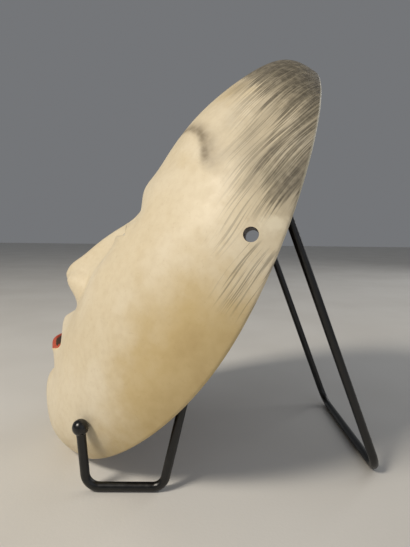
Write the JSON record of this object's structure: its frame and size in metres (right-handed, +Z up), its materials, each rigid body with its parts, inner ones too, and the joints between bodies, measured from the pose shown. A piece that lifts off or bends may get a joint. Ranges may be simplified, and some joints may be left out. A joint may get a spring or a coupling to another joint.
{
  "type": "kyogen mask",
  "caption": "Hollow carved and painted wooden theatre mask of a calm face, leaning back on a black wire display stand with ball-tipped hooks.",
  "frame": {"origin": "on the ground, under the middle of the footprint's bounding box", "axes": "+Z up, the face looks along -Y and leans back towards +Y, +X towards the mask's own left side"},
  "size_m": [0.138, 0.147, 0.1723],
  "materials": {
    "painted_wood": "shell-white paint over wood, satin, ink hair, red lower lip",
    "stand_enamel": "black satin powder coat on steel wire",
    "tip_enamel": "black gloss coat on steel balls"
  },
  "bodies": {
    "root": {"mask": "painted_wood", "front_frame": "stand_enamel", "back_leg": "stand_enamel", "ball_tip_left": "tip_enamel", "ball_tip_right": "tip_enamel"}
  },
  "joints": []
}
